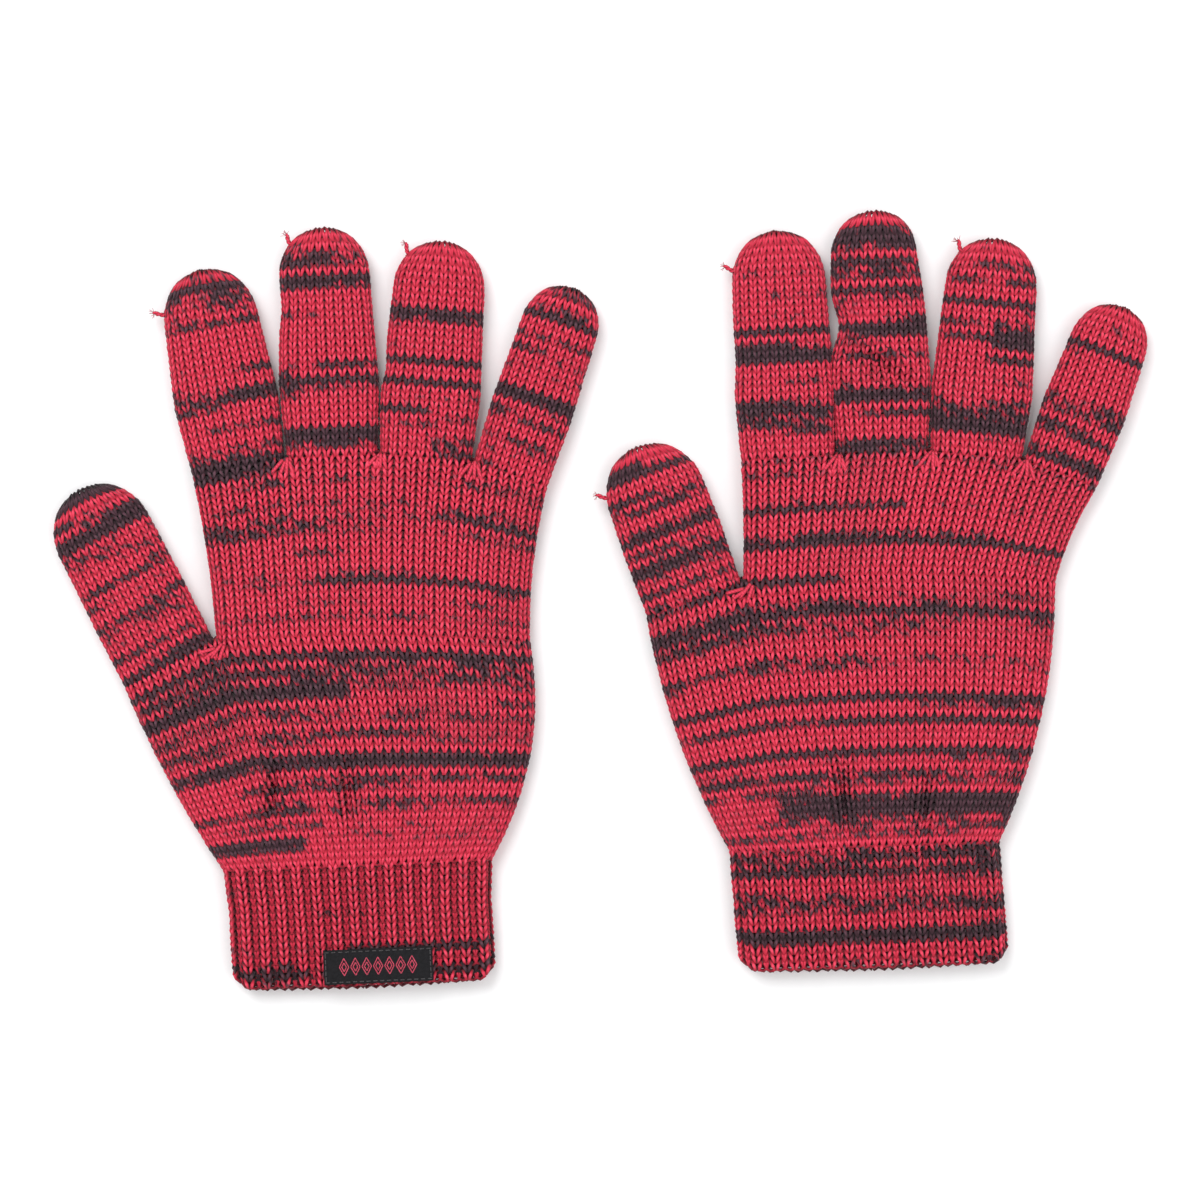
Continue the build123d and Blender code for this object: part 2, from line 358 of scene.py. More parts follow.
def loop_tree():
    """Bends the guide line of each course into loops and lays yarn along it."""
    inputs = {
        "Loop spread": LOOP_SPREAD, "Loop height": LOOP_HEIGHT, "Loop depth": LOOP_DEPTH,
        "Leg pinch": LEG_PINCH, "Loop tilt": LOOP_TILT, "Leg swell": LEG_SWELL,
        "Yarn radius": YARN_RADIUS, "Yarn sides": YARN_SIDES,
    }
    tree, bench, wires = new_tree("Knitted loops", inputs)
    phase = named(bench, "loop", "FLOAT") * (2 * pi)
    narrow = named(bench, "narrow", "FLOAT")
    spread = ((phase * 2.0).sine() * wires["Loop spread"] + phase.sine() * wires["Leg pinch"]) * narrow
    rise = phase.cosine() * wires["Loop height"] * -1.0
    depth = (phase.cosine() * wires["Loop tilt"] - (phase * 2.0).cosine() * wires["Loop depth"]) * narrow
    offset = named(bench, "across", "FLOAT_VECTOR").scaled(spread)
    offset = offset.plus(named(bench, "up", "FLOAT_VECTOR").scaled(rise))
    offset = offset.plus(named(bench, "out", "FLOAT_VECTOR").scaled(depth))
    bent = bench.node("GeometryNodeSetPosition", {"Geometry": wires["Geometry"], "Offset": offset})
    spot = bench.node("GeometryNodeInputPosition", {})
    bent = stored(bench, bent, "middle", spot, "FLOAT_VECTOR")
    line = bench.node("GeometryNodeMeshToCurve", {"Mesh": bent})
    swell = (1.0 - (phase * 2.0).cosine() * wires["Leg swell"]) * named(bench, "full", "FLOAT")
    line = bench.node("GeometryNodeSetCurveRadius", {"Curve": line, "Radius": swell})
    size = {"Resolution": wires["Yarn sides"], "Radius": wires["Yarn radius"]}
    ring = bench.node("GeometryNodeCurvePrimitiveCircle", size)
    turn = bench.node("GeometryNodeSplineParameter", {})
    ring = stored(bench, ring, "around", turn, "FLOAT")
    close_tree(bench, swept(bench, line, ring), wires)
    return tree


def cord_tree():
    """Lays a round cord along every edge path of a mesh."""
    tree, bench, wires = new_tree("Cord along paths", {"Radius": 0.4 * MM, "Sides": 8, "Points": 10})
    line = bench.node("GeometryNodeMeshToCurve", {"Mesh": wires["Geometry"]})
    line = bench.node("GeometryNodeResampleCurve", {"Curve": line, "Count": wires["Points"]})
    size = {"Resolution": wires["Sides"], "Radius": wires["Radius"]}
    ring = bench.node("GeometryNodeCurvePrimitiveCircle", size)
    close_tree(bench, swept(bench, line, ring), wires)
    return tree


def new_mesh(name, places, edges=(), faces=()):
    mesh = bpy.data.meshes.new(name)
    mesh.from_pydata(np.asarray(places).tolist(), list(edges), list(faces))
    return mesh


def grid_faces(rows, columns, closed):
    """The faces between the rows of a grid, which may close on itself sideways."""
    faces = []
    for first in range(0, (rows - 1) * columns, columns):
        for k in range(columns if closed else columns - 1):
            after = (k + 1) % columns
            faces.append((first + k, first + after, first + columns + after, first + columns + k))
    return faces


def placed(name, data):
    """A new object in the scene."""
    made = bpy.data.objects.new(name, data)
    bpy.context.scene.collection.objects.link(made)
    return made


def finished(made):
    """The object's mesh with its modifiers worked in."""
    graph = bpy.context.evaluated_depsgraph_get()
    return bpy.data.meshes.new_from_object(made.evaluated_get(graph))


def grown(name, guide, tree, cloth, **sizes):
    """Runs a tree on a guide mesh and returns the result as a plain mesh object."""
    maker = placed(name + "_guide", guide)
    modifier = maker.modifiers.new("grow", "NODES")
    modifier.node_group = tree
    wanted = {**sizes, "Material": cloth}
    for item in tree.interface.items_tree:
        if item.in_out == "INPUT" and item.name in wanted:
            modifier[item.identifier] = wanted[item.name]
    mesh = finished(maker)
    mesh.name = name
    bpy.data.objects.remove(maker)
    bpy.data.meshes.remove(guide)
    return placed(name, mesh)


def unit(rows):
    """Each row of an array as a vector one long."""
    return rows / np.linalg.norm(rows, axis=1)[:, None]


def bell(away, reach):
    """1 at the middle, and next to nothing at twice the reach."""
    return np.exp(-((away / reach) ** 2))


def fetch(items, key, kind=np.float32, width=1):
    """One property of all vertices, corners or faces of a mesh, as an array."""
    values = np.empty(len(items) * width, dtype=kind)
    items.foreach_get(key, values)
    return values if width == 1 else values.reshape(-1, width)


def read_floats(mesh, name, width=1):
    return fetch(mesh.attributes[name].data, "value" if width == 1 else "vector", width=width)


def write_floats(mesh, **layers):
    """Stores numbers, or vectors, for every vertex under each name."""
    for name, values in layers.items():
        kind, key = ("FLOAT_VECTOR", "vector") if values.ndim == 2 else ("FLOAT", "value")
        layer = mesh.attributes.new(name, kind, "POINT")
        layer.data.foreach_set(key, np.ascontiguousarray(values, dtype=np.float32).ravel())


def write_map(mesh, uv):
    """The piece's own map, from the place of each face corner on it."""
    layer = mesh.uv_layers.new(name="OFBake")
    layer.data.foreach_set("uv", uv.astype(np.float32).ravel())


def vertex_array(mesh):
    return fetch(mesh.vertices, "co", float, 3)


def face_out(mesh):
    """Turns the faces of a closed mesh outwards if they point inwards."""
    mesh.calc_loop_triangles()
    corners = fetch(mesh.loop_triangles, "vertices", np.int32, 3)
    a, b, c = vertex_array(mesh)[corners.T]
    if np.einsum("ij,ij->i", a, np.cross(b, c)).sum() < 0:
        mesh.flip_normals()


def light_up(mesh):
    """Notes how near each point of the yarn is to the outer face, as painted light for its colour: legs
    stand out lit, loop ends hide in painted shade, and the drawn-back wales of a rib get more painted
    shade.
    """
    outward = read_floats(mesh, "out", 3)
    from_middle = vertex_array(mesh) - read_floats(mesh, "middle", 3)
    crown = np.einsum("ij,ij->i", outward, from_middle)
    turn = 2 * pi * read_floats(mesh, "loop")
    legs = (LOOP_TILT * np.cos(turn) - LOOP_DEPTH * np.cos(2 * turn)) * read_floats(mesh, "narrow")
    reach = LOOP_DEPTH + YARN_RADIUS
    # Painted shade on the drawn-back wales of a rib.
    shaded = 0.15 * read_floats(mesh, "sunk")
    write_floats(mesh, lit=np.clip((crown + legs - shaded + 0.7 * reach) / (1.7 * reach), 0, 1))


def unroll(mesh, wales, courses):
    """Maps the yarn along its course one way, and the courses side by side the other way."""
    corner = fetch(mesh.loops, "vertex_index", np.int32)
    loop, course, around = (read_floats(mesh, name)[corner] for name in ("loop", "course", "around"))
    starts = fetch(mesh.polygons, "loop_start", np.int32)
    owner = np.repeat(np.arange(len(starts)), fetch(mesh.polygons, "loop_total", np.int32))
    highest = np.maximum.reduceat(around, starts)
    around[(highest[owner] > 0.7) & (around < 0.2)] += 1.0
    write_map(mesh, np.column_stack([loop / wales, (course + around * 0.94) / courses]))


# ---- The shape of a glove, read from the frame ----

nodes = frame["nodes"]
joints = {joint["name"]: joint for joint in frame["record"]["behaviour"]["joints"]}
top_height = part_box("right_index")[1][2]
half_height = top_height / 2


def node_points(name):
    return vertex_array(nodes[name].data)


class Hinge:
    """A hinge line in plan: its middle, the way across it and the way along the piece it turns."""

    def __init__(self, side, name):
        joint = joints[f"{side}_{name}_fold"]
        self.body = f"{side}_{name}"
        self.palm = f"{side}_palm"
        self.middle = np.array(joint["pos_m"][:2])
        self.across = np.array(joint["axis"][:2])
        if self.across[0] < 0:
            self.across = -self.across
        self.along = np.array([-self.across[1], self.across[0]])

    def local(self, points):
        """Points in plan, as how far they lie across and along from the hinge."""
        from_middle = points[:, :2] - self.middle
        return from_middle @ self.across, from_middle @ self.along

    def place(self, across, along):
        """The other way round."""
        return self.middle + np.multiply.outer(across, self.across) + np.multiply.outer(along, self.along)

    def point(self, along):
        """A point in space on the middle line."""
        x, y = self.middle + self.along * along
        return (float(x), float(y), half_height)


def path_point(points, share):
    """Points at a share of the way along a path of straight runs."""
    points = np.asarray(points, dtype=float)
    runs = np.hypot(*np.diff(points, axis=0).T)
    reach = np.concatenate([[0], np.cumsum(runs)]) / runs.sum()
    return np.column_stack([np.interp(share, reach, points[:, k]) for k in range(2)])


def left_of(way):
    """The direction square to a way in plan, on its left."""
    return np.array([-way[1], way[0]]) / np.hypot(*way[:2])


def bowed(start, end, bow, share):
    """Points on a side that runs from start to end and bows to the left of that way."""
    share = np.atleast_1d(share)[:, None]
    return start + (end - start) * share + left_of(end - start) * (bow * 4 * share * (1 - share))


class Digit:
    """A finger or a thumb: a tube with a rounded tip that is a little fuller near the crotch."""

    def __init__(self, side, name, belly, belly_at, dents):
        self.hinge = Hinge(side, name)
        across, along = self.hinge.local(node_points(f"{side}_{name}"))
        self.length = along.max()
        self.root = np.abs(across[along < 2 * MM]).max() + 0.5 * MM
        self.tip = np.abs(across).max() + 0.2 * MM
        self.belly = belly
        self.belly_at = belly_at
        self.dents = dents
        self.courses = round(self.length / COURSE)
        girth = 4 * (self.tip - half_height) + 2 * pi * half_height
        self.wales = round(girth / WALE)

    def half_width(self, along):
        """Half the width at a distance from the root."""
        full = np.interp(along, [0, self.belly_at, self.length * 0.8], [self.root, self.belly, self.tip])
        left = np.clip((self.length - 0.6 * MM - along) / self.tip, 0, 1)
        return full * (1 - (1 - left) ** 2.1) ** (1 / 2.1)

    def row(self, ring, down):
        """One course in plan: ring is where on the half width, down is how far on to the root."""
        along = (self.length - TIP_START) * (1 - down)
        width = self.half_width(along)
        along = along + TIP_BULGE * bell(self.length - along, TIP_REACH) * (1 - ring**2)
        across = ring * width
        for side, place, depth, reach in self.dents:
            dent = depth * MM * bell(along - place * MM, reach * MM)
            across = across - dent * side * np.clip(ring * side, 0, 1)
        return self.hinge.place(across, along), width

    def thickness(self, down):
        """Half the thickness at a course."""
        left = np.clip(self.length * down / TIP_TAPER, 0, 1)
        return half_height * (0.42 + 0.58 * np.sin(left * pi / 2) ** 0.8)


@dataclass
class Palm:
    """A part of the palm between an upper and a lower line, with bowed sides."""

    upper: list
    lower: list
    bows: list  # of its left and its right side
    arch: tuple  # how far its courses arch up, at the upper and at the lower line
    arch_from: float  # the share of the way across where that arch starts
    courses: int
    wales: int

    def row(self, ring, down):
        share = (ring + 1) / 2
        top = path_point(self.upper, share)
        bottom = path_point(self.lower, share)
        left, right = (
            bowed(self.upper[end], self.lower[end], self.bows[end], down)[0] for end in (0, -1)
        )
        plan = top * (1 - down) + bottom * down
        for end, side, weight in ((0, left, 1 - share), (-1, right, share)):
            straight = self.upper[end] * (1 - down) + self.lower[end] * down
            plan = plan + np.outer(weight, side - straight)
        lift = np.interp(down, [0, 1], self.arch)
        along_arch = np.clip((share - self.arch_from) / (1 - self.arch_from), 0, 1)
        plan[:, 1] += lift * 4 * along_arch * (1 - along_arch)
        return plan, np.hypot(*(right - left)) / 2

    def thickness(self, down):
        return half_height


class Cuff:
    """A cuff: a straight tube whose ribs end in a soft scallop."""

    def __init__(self, side, wrist_half, hem_half, hem_skew, rib_depth):
        self.rib_depth = rib_depth
        self.hinge = Hinge(side, "cuff")
        self.length = -self.hinge.local(node_points(f"{side}_cuff_welt"))[1].min()
        self.wrist_half = wrist_half
        self.hem_half = hem_half
        self.hem_skew = hem_skew
        self.courses = round(self.length / COURSE)
        self.wales = 2 * RIB_WALES

    def row(self, ring, down):
        along = -self.length * down + 0.6 * MM
        width = np.interp(down, [0, 0.35, 1], [self.wrist_half, self.hem_half, self.hem_half])
        corner = (np.clip(np.abs(ring) - 0.84, 0, 1) / 0.16) ** 2
        along = along + HEM_ROUND * np.clip(down - 0.6, 0, 1) * corner
        return self.hinge.place(ring * width + self.hem_skew * down, along), width

    def thickness(self, down):
        return half_height


class Glove:
    """All sections of one glove."""

    def __init__(self, side, style):
        self.side = side
        self.digits = {}
        for name, (belly, at) in zip(DIGITS, style["bellies"]):
            self.digits[name] = Digit(side, name, belly * MM, at * MM, style["dents"].get(name, []))
        self.knuckles = self.knuckle_line()
        thumb = self.digits["thumb"]
        self.crotch = thumb.hinge.place(thumb.root, 0.0)
        self.corner = thumb.hinge.place(-thumb.root, 0.0)
        upper = node_points(f"{side}_upper_palm")
        low = upper[upper[:, 1] < upper[:, 1].min() + 0.1 * MM]
        self.seam = np.array([low[:, 0].max(), low[:, 1].min()])
        wrist = Hinge(side, "cuff")
        rib_across, _ = wrist.local(node_points(f"{side}_cuff_rib"))
        wrist_half = np.abs(rib_across).max()
        wrist_ends = [wrist.place(-wrist_half, 0.0), wrist.place(wrist_half, 0.0)]
        from_seam = node_points(f"{side}_lower_palm")[:, :2] - self.seam
        heel = (from_seam @ left_of(wrist_ends[1] - self.seam)).max()
        arch = style["arch"] * MM
        thumb_side = np.hypot(*(self.crotch - self.corner))
        self.upper = Palm(
            upper=self.knuckles,
            lower=[self.crotch, self.seam],
            bows=[bow * MM for bow in style["upper_bows"]],
            arch=(0.0, arch),
            arch_from=0.0,
            courses=round((self.knuckles[2][1] - self.seam[1]) / COURSE),
            wales=2 * PALM_WALES,
        )
        self.lower = Palm(
            upper=[self.corner, self.crotch, self.seam],
            lower=wrist_ends,
            bows=[-style["thumb_bow"] * MM, heel],
            arch=(arch, style["wrist_arch"] * MM),
            arch_from=thumb_side / (thumb_side + np.hypot(*(self.seam - self.crotch))),
            courses=round((self.seam[1] - wrist.middle[1]) / COURSE),
            wales=2 * (PALM_WALES + THUMB_WALES),
        )
        hem_half = wrist_half + style["hem_wider"] * MM
        self.cuff = Cuff(side, wrist_half, hem_half, style["hem_skew"] * MM, style["rib_depth"] * MM)

    def knuckle_line(self):
        """The line that the four fingers stand on, from the index to the little finger."""
        fingers = [self.digits[name] for name in FINGERS]
        left, right = ([f.hinge.place(way * f.root, 0.0) for f in fingers] for way in (-1, 1))
        return [left[0]] + [(a + b) / 2 for a, b in zip(right, left[1:])] + [right[-1]]

    def sections(self):
        """All sections by their names."""
        palms = {"upper_palm": self.upper, "lower_palm": self.lower}
        return {**self.digits, **palms, "cuff": self.cuff}


# ---- The lie of the fabric ----


class Relief:
    """Low waves, dimples and creases in the upper face of a glove."""

    def __init__(self, seed, dimples, creases):
        rng = np.random.default_rng(seed)
        self.waves = [
            (rng.uniform(-1, 1, 2) * 2 * pi / rng.uniform(22 * MM, 55 * MM), rng.uniform(0, 2 * pi))
            for _ in range(9)
        ]
        self.dimples = dimples
        self.creases = creases

    def height(self, plan):
        """How far the upper face stands over its smooth shape."""
        lift = sum(np.sin(plan @ wave + start) for wave, start in self.waves) * WAVE_HEIGHT
        for centre, radius, depth in self.dimples:
            lift = lift - depth * bell(np.hypot(*(plan - centre).T), radius)
        for centre, lean, length, width, depth in self.creases:
            way = np.array([np.cos(radians(lean)), np.sin(radians(lean))])
            from_centre = plan / MM - centre
            along = from_centre @ way
            aside = from_centre @ left_of(way)
            fold = bell(aside, width) - 0.45 * bell(aside - 2 * width, width)
            lift = lift - depth * MM * bell(along, length) * fold
        return lift


def ring_shares(half_width, thick, count):
    """Points spread evenly round a flattened ring, from the middle of its underside."""
    turn = np.linspace(-pi / 2, 3 * pi / 2, 1441)
    power = 2 / max(2.4, 1.5 * half_width / thick)
    across = np.sign(np.cos(turn)) * np.abs(np.cos(turn)) ** power
    high = np.sin(turn)
    reach = np.concatenate([[0], np.cumsum(np.hypot(np.diff(across) * half_width, np.diff(high) * thick))])
    share = np.linspace(0, 1, count)
    return np.interp(share, reach / reach[-1], across), np.interp(share, reach / reach[-1], high)


def warp_ribs(count, wales):
    """Shares round a ribbed ring, where the raised wales take more room than the ones drawn back."""
    wale = np.linspace(0, wales, count)
    return (wale + RIB_PULL / pi * (1 - np.cos(pi * wale))) / wales


def course_points(section, relief, down, count, depth, ribbed):
    """One course in space: its points, and how far up its face each lies, from -1 to 1."""
    thick = section.thickness(down)
    _, width = section.row(np.zeros(1), down)
    across, high = ring_shares(width, thick, count)
    if ribbed:
        even = np.linspace(0, 1, count)
        warped = warp_ribs(count, section.wales)
        across, high = (np.interp(warped, even, values) for values in (across, high))
    plan, _ = section.row(across * (1 - depth / width), down)
    if ribbed:
        plan[:, 1] -= HEM_LIP * np.clip(down * 4 - 3, 0, 1) * np.clip(-high * 2, 0, 1) * (1 - across**2)
    lift = relief.height(plan) * np.clip(high, 0, 1)
    crown = 1 - 0.07 * across**2
    z = half_height + (thick - depth) * high * crown + lift
    return np.column_stack([plan, z])


def guide_mesh(name, section, relief, plum, rows, ribbed):
    """The guide lines of a section's courses, with what the loops need to know at each point."""
    count = section.wales * SAMPLES + 1
    step = 0.25 / section.courses
    rng = np.random.default_rng(count)
    wale = np.linspace(0, section.wales, count)
    knots = np.arange(2 * section.wales + 1)
    rib = np.cos(pi * (wale - 0.5)) if ribbed else np.ones(count)
    sunk = (1 - rib) * (section.rib_depth if ribbed else 0.0)
    lines = []
    for row in rows:
        down = (row + 0.5) / section.courses
        above, here, below = (
            course_points(section, relief, down + by, count, SKIN_DEPTH, ribbed) for by in (-step, 0, step)
        )
        sideways = np.empty_like(here)
        sideways[1:-1] = here[2:] - here[:-2]
        sideways[0] = sideways[-1] = here[1] - here[-2]
        pitch = np.linalg.norm(sideways, axis=1) * SAMPLES / 2
        row_gap = np.linalg.norm(above - below, axis=1) * 2
        sideways = unit(sideways)
        upward = unit(above - below)
        outward = unit(np.cross(upward, sideways))
        if ((here - here.mean(axis=0)) * outward).sum() < 0:
            outward = -outward
        if ribbed:
            hem = np.clip(down * 5 - 4, 0, 1)
            here = here - outward * (sunk * (1 + 0.5 * hem))[:, None]
            here = here - upward * (rib * hem * 0.5 * MM)[:, None]
        strays = rng.normal(0, 1, (4, len(knots))).clip(-2, 2)
        aside, proud, taller, fuller = (np.interp(wale * 2, knots, stray)[:, None] for stray in strays)
        lines.append({
            "place": here + sideways * aside * UNEVEN + outward * proud * (0.7 * UNEVEN),
            "across": sideways,
            "up": upward * row_gap[:, None] / COURSE * (1 + 0.05 * taller),
            "out": outward,
            "loop": wale,
            "course": np.full(count, float(row)),
            "narrow": np.clip(pitch / WALE, 0.2, 1.2) ** 0.8,
            "full": np.clip(pitch / WALE, 0.6, 1.1) * (0.92 + 0.08 * rib) * (1 + 0.05 * fuller[:, 0]),
            "plum": plum(row, wale),
            "sunk": sunk,
        })
    joined = {key: np.concatenate([line[key] for line in lines]) for key in lines[0]}
    first = (np.arange(len(lines))[:, None] * count + np.arange(count - 1)).ravel()
    mesh = new_mesh(name, joined.pop("place"), np.column_stack([first, first + 1]).tolist())
    write_floats(mesh, **joined)
    return mesh


def knit(name, section, relief, plum, rows, ribbed=False):
    """The loops of a section's courses as one piece."""
    guide = guide_mesh(name, section, relief, plum, rows, ribbed)
    piece = grown(name, guide, LOOPS, YARN)
    face_out(piece.data)
    unroll(piece.data, section.wales, section.courses)
    light_up(piece.data)
    for spare in ("across", "up", "out", "middle", "narrow", "full", "sunk"):
        piece.data.attributes.remove(piece.data.attributes[spare])
    return piece


def walled(made, thickness):
    """Gives a sheet its thickness, inwards from its face."""
    wall = made.modifiers.new("wall", "SOLIDIFY")
    wall.thickness = thickness
    wall.offset = -1.0


def lining(name, section, relief, plum, tip, depth=LINING_DEPTH):
    """The inner face of a section: a closed sleeve behind the loops, or one with a closed tip."""
    around = section.wales * 2
    rows = section.courses * 2 + 1
    wale = np.arange(around) / 2
    grid, dark = [], []
    for row in range(rows):
        down = max(row / (rows - 1), 0.02 if tip else 0.0)
        grid.append(course_points(section, relief, down, around + 1, depth, False)[:-1])
        dark.append(plum(row / 2, wale))
    faces = grid_faces(rows, around, True)
    if tip:
        faces.append(tuple(range(around - 1, -1, -1)))
    mesh = new_mesh(name, np.concatenate(grid), faces=faces)
    course = np.repeat(np.arange(rows) / 2, around)
    write_floats(mesh, loop=np.tile(wale, rows), course=course, plum=np.concatenate(dark))
    mesh.polygons.foreach_set("use_smooth", np.ones(len(mesh.polygons), dtype=bool))
    mesh.materials.append(LINING)
    made = placed(name, mesh)
    walled(made, 0.25 * MM)
    made.data = finished(made)
    made.modifiers.clear()
    face_out(made.data)
    return made


# ---- The dyeing ----


class Dye:
    """Which strand is in front along the yarn: long wandering streaks and the darker bands.

    A band is (first course, last course, strength), all the way across, or has its two ends after
    that, from -1 at the left side of the upper face to 1 at its right side."""

    def __init__(self, seed, wales, bands, base):
        rng = np.random.default_rng(seed)
        self.wales = wales
        self.bands = bands
        self.base = base
        self.long = rng.uniform(-1, 1, 4001)
        self.short = rng.uniform(-1, 1, 16001)

    def streak(self, knots, yarn, reach):
        """Smooth noise along the yarn, with a knot every reach loops."""
        at = yarn / reach
        first = np.floor(at).astype(int)
        part = at - first
        part = part * part * (3 - 2 * part)
        size = len(knots)
        return knots[first % size] * (1 - part) + knots[(first + 1) % size] * part

    def __call__(self, course, wale):
        yarn = np.floor(course) * self.wales + wale + 50.0
        plum = self.base + LONG_STREAK * self.streak(self.long, yarn, 0.73 * self.wales)
        plum = plum + SHORT_STREAK * self.streak(self.short, yarn, 3.1)
        place = self.across(wale)
        for first, last, strength, *ends in self.bands:
            start, end = ends or (-1.3, 1.3)
            middle = np.floor(course) + 0.5
            down = np.clip(min(middle - first, last - middle) * 2 + 0.5, 0, 1)
            inside = np.clip((place - start) / 0.08, 0, 1) * np.clip((end - place) / 0.08, 0, 1)
            plum = plum + BAND_GAIN * strength * down * inside
        return plum

    def across(self, wale):
        """Where a wale lies across the face, from -1 at the left to 1 at the right."""
        share = (wale / self.wales) % 1.0
        return np.interp(share, [0, 0.25, 0.75, 1.0], [0, 1, -1, 0])


# The darker bands of each section, in courses from its top
RIGHT_BANDS = {
    "index": [(0, 4, 0.28), (16.5, 18.5, 0.3), (24, 29, 0.26)],
    "middle": [(4.7, 6.5, 0.26), (18.6, 20.6, 0.26), (26, 28, 0.3)],
    "ring": [
        (8, 9, 0.25), (14.8, 15.8, 0.28), (18, 19, 0.3), (21.3, 22.6, 0.28, -1.3, 0),
        (27, 29, 0.25, 0, 1.3),
    ],
    "little": [(3, 4, 0.25), (14, 16, 0.3)],
    "thumb": [(0, 5.6, 0.24), (9.2, 10, 0.22), (18, 20.5, 0.28), (24.5, 26, 0.2)],
    "upper_palm": [
        (0, 2.5, 0.26, -1.3, -0.4), (3.4, 4.4, 0.22), (8.0, 10.2, 0.34), (13.3, 14.2, 0.25, -1.3, -0.1),
        (16.6, 17.8, 0.34, -0.35, 1.3), (22, 23, 0.26),
    ],
    "lower_palm": [
        (2.2, 3.2, 0.28), (6.4, 8.0, 0.36, -1.3, 0.1), (10.0, 10.9, 0.26), (15.6, 17.6, 0.32),
        (19, 20.6, 0.25, -0.7, 0.6), (26, 27.6, 0.3, -1.3, -0.3),
    ],
    "cuff": [(9.4, 12.2, 0.32, -0.15, 1.3), (12.2, 16, 0.2, 0.5, 1.3), (12.5, 16, 0.28, -1.3, -0.4)],
}
LEFT_BANDS = {
    "index": [(8.4, 9.2, 0.26), (12, 12.8, 0.24), (15.2, 16.6, 0.3), (19, 20.3, 0.3), (22.6, 25, 0.26)],
    "middle": [(2, 16, 0.19), (23.5, 25.4, 0.28), (30.6, 32, 0.3)],
    "ring": [(3.2, 4, 0.26), (7.2, 8, 0.24), (8.5, 16.5, 0.22, 0, 1.3), (21, 25.4, 0.25)],
    "little": [(5.2, 6, 0.26), (14.8, 16.2, 0.3), (21, 23.4, 0.24)],
    "thumb": [(0, 3, 0.24, -1.3, 0), (5.6, 6.4, 0.28), (15.3, 16.1, 0.28)],
    "upper_palm": [(0, 1.5, 0.2), (6.2, 7.7, 0.28, -1.3, 0), (12.2, 13.0, 0.28)],
    "lower_palm": [
        (0.2, 1.0, 0.24, -0.8, 0), (3.6, 6.0, 0.26), (10.2, 11.0, 0.26), (14.8, 16.2, 0.34),
        (18, 18.8, 0.24), (20, 20.8, 0.26), (22.2, 23, 0.26), (24.4, 25.2, 0.24),
        (27.6, 31, 0.24, -0.6, 1.3),
    ],
    "cuff": [(0, 1.2, 0.24), (3, 3.8, 0.22), (5.6, 6.4, 0.24), (7.8, 8.6, 0.22), (10.6, 13.2, 0.26)],
}

# How each glove lies, in millimetres. The bellies are in the order of the digits: half the width, and how
# far from the root. A dent is (side, distance from the root, depth, reach), with side -1 for the left edge.
# A crease is (centre, the way it runs in degrees, length, width, depth).
RIGHT_STYLE = {
    "bellies": [(16.1, 20), (15.4, 22), (15.4, 19), (12.7, 20), (15.6, 20)],
    "dents": {"middle": [(-1, 45, 0.8, 6)], "ring": [(-1, 26, 0.8, 5)]},
    "creases": [((-98.0, -57.0), 84, 9, 1.5, 3.2), ((-75.5, -57.0), 92, 9, 1.4, 2.8)],
    "cuff_plum": 0.26,
    "arch": 2.2, "wrist_arch": 0.0,
    "upper_bows": (1.0, -1.6), "thumb_bow": 1.6,
    "hem_wider": -1.0, "hem_skew": 0.6,
    "rib_depth": 0.75,
}
LEFT_STYLE = {
    "bellies": [(15.5, 20), (15.5, 23), (15.6, 19), (13.0, 20), (15.8, 18)],
    "dents": {"middle": [(-1, 38.5, 2.8, 7), (1, 60, 1.2, 8)], "index": [(-1, 30, 0.6, 9)]},
    "creases": [
        ((73.5, -58.0), 92, 10, 1.5, 3.2),
        ((98.0, -61.0), 88, 10, 1.4, 2.8),
        ((84.0, 70.5), -36, 10, 2.1, 3.2),
    ],
    "cuff_plum": 0.34,
    "arch": 2.6, "wrist_arch": 0.5,
    "upper_bows": (0.4, -1.2), "thumb_bow": 3.2,
    "hem_wider": 0.0, "hem_skew": 1.6,
    "rib_depth": 0.38,
}


# ---- Small pieces ----


def path_mesh(name, paths):
    """A mesh of open edge paths."""
    places, edges = [], []
    for path in paths:
        first = len(places)
        places += list(path)
        edges += [(first + k, first + k + 1) for k in range(len(path) - 1)]
    return new_mesh(name, places, edges)


def cords(name, paths, radius, cloth, points, sides=8):
    """Round cords along open paths, as one piece."""
    piece = grown(name, path_mesh(name, paths), CORDS, cloth, Radius=radius, Sides=sides, Points=points)
    face_out(piece.data)
    return piece


def as_yarn(piece, plum):
    """Gives a loose piece of yarn what the marled yarn's material reads."""
    places = vertex_array(piece.data)
    facing = fetch(piece.data.vertices, "normal", width=3)[:, 2]
    write_floats(
        piece.data,
        loop=(places[:, 0] + places[:, 1]) / WALE,
        around=np.arccos(np.clip(facing, -1, 1)) / (2 * pi),
        course=0 * facing,
        plum=0 * facing + plum,
        # Painted light: lighter where the surface faces straight up or down, painted shade on the sides.
        lit=0.42 + 0.5 * np.abs(facing),
    )


def curl(start, way, length, rise, bend, count=9):
    """A short free end of yarn that bends as it goes."""
    share = np.linspace(0, 1, count)
    side = np.array([-way[1], way[0], 0.0])
    line = np.outer(share * length, way) + np.outer(bend * share**2, side)
    line[:, 2] += rise * np.sin(share * pi)
    return np.asarray(start) + line


def twisted(line, offset, turns, phase):
    """A strand that winds round a line."""
    share = np.linspace(0, 1, len(line))
    way = unit(np.gradient(line, axis=0))
    side = unit(np.cross(way, (0, 0, 1.0)))
    high = np.cross(side, way)
    angle = (2 * pi * turns * share + phase)[:, None]
    return line + offset * (np.cos(angle) * side + np.sin(angle) * high)


